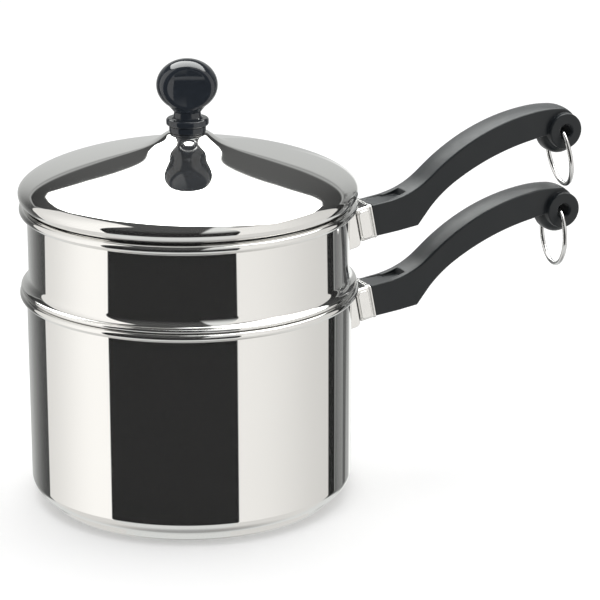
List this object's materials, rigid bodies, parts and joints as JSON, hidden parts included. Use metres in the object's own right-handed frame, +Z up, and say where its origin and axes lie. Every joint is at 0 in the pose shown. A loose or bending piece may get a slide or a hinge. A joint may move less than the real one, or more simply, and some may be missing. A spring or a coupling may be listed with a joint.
{
  "type": "double boiler",
  "caption": "Stovetop double boiler: a steel saucepan, an insert pan that hangs in its mouth and a domed lid with a ball knob, with arched black handles and hanging rings.",
  "frame": {"origin": "middle of the saucepan base's underside, on the table", "axes": "+Z up along the pans' common axis, +X along both handles, away from the pans"},
  "size_m": [0.2994, 0.1654, 0.2186],
  "materials": {
    "polished_steel": "mirror-polished stainless steel",
    "aluminium_core": "plain aluminium, sealed inside the base",
    "handle_phenolic": "moulded black phenolic, semi-gloss",
    "knob_phenolic": "moulded black phenolic, glossy",
    "brass_insert": "turned brass, moulded in",
    "screw_steel": "bright steel fastener",
    "ring_steel": "bright wire"
  },
  "bodies": {
    "saucepan": {"pan_body": "polished_steel", "base_core": "aluminium_core", "base_cap": "polished_steel", "pan_bracket": "polished_steel", "pan_ferrule": "polished_steel", "pan_handle": "handle_phenolic", "pan_handle_screw": "screw_steel", "pan_handle_washer": "screw_steel"},
    "lower_ring": {"pan_ring": "ring_steel"},
    "insert": {"insert_body": "polished_steel", "insert_bracket": "polished_steel", "insert_ferrule": "polished_steel", "insert_handle": "handle_phenolic", "insert_handle_screw": "screw_steel", "insert_handle_washer": "screw_steel"},
    "upper_ring": {"insert_ring": "ring_steel"},
    "lid": {"lid_shell": "polished_steel", "knob_spacer": "knob_phenolic", "lid_knob": "knob_phenolic", "knob_nut": "brass_insert", "knob_screw": "screw_steel", "knob_washer": "screw_steel"}
  },
  "joints": [
    {"name": "insert_lift", "type": "slide", "parent": "saucepan", "child": "insert", "axis": [0, 0, 1], "range_m": [0, 0.12]},
    {"name": "lid_lift", "type": "slide", "parent": "insert", "child": "lid", "axis": [0, 0, 1], "range_m": [0, 0.1]},
    {"name": "lower_ring_swing", "type": "hinge", "parent": "saucepan", "child": "lower_ring", "pos_m": [0.20611, 0, 0.12117], "axis": [0, 1, 0], "range_deg": [-145, 70]},
    {"name": "upper_ring_swing", "type": "hinge", "parent": "insert", "child": "upper_ring", "pos_m": [0.20611, 0, 0.16317], "axis": [0, 1, 0], "range_deg": [-232, 0]}
  ]
}
